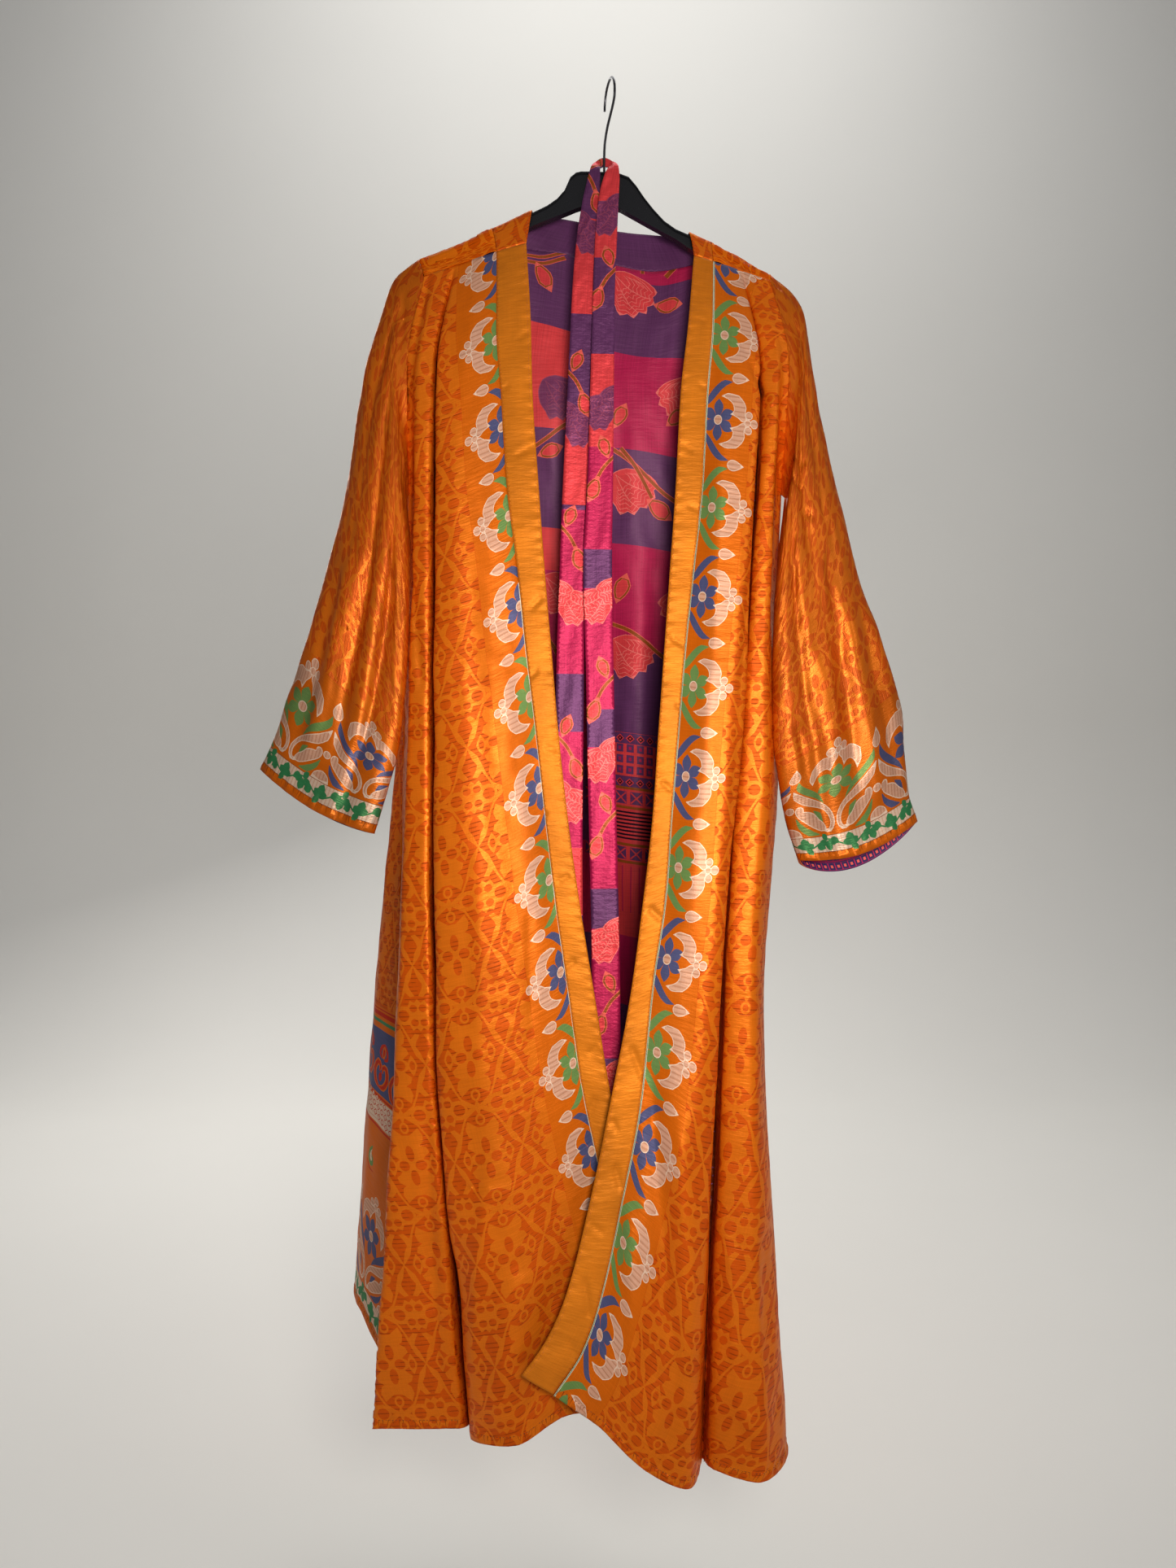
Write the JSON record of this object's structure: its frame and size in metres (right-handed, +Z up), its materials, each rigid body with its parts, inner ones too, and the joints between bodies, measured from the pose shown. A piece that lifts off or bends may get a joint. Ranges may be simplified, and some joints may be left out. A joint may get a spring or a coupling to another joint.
{
  "type": "kimono robe on a clothes hanger",
  "caption": "Long open-front silk kimono robe with wide sleeves hanging on a plastic clothes hanger, its belt slung over the hook.",
  "frame": {"origin": "inside top of the hanger's hook, where a rail bears", "axes": "+Z up, -Y towards the viewer of the open front, +X to the viewer's right"},
  "size_m": [0.6855, 0.3217, 1.4245],
  "materials": {
    "damask": "orange tone-on-tone silk damask with a printed floral border",
    "plain_silk": "plain ochre-orange silk, topstitched",
    "lining_silk": "slubbed plum, crimson and coral silk with woven tulips",
    "black_plastic": "moulded black plastic",
    "steel_wire": "plated steel wire"
  },
  "bodies": {
    "root": {"back": "damask", "back_lining": "lining_silk", "front_right": "damask", "front_left": "damask", "band_right": "plain_silk", "band_left": "plain_silk", "neck_band": "damask", "sleeve_right": "damask", "sleeve_left": "damask", "cuff_lining_right": "lining_silk", "cuff_lining_left": "lining_silk", "belt": "lining_silk", "hanger_body": "black_plastic", "hanger_hook": "steel_wire"}
  },
  "joints": []
}
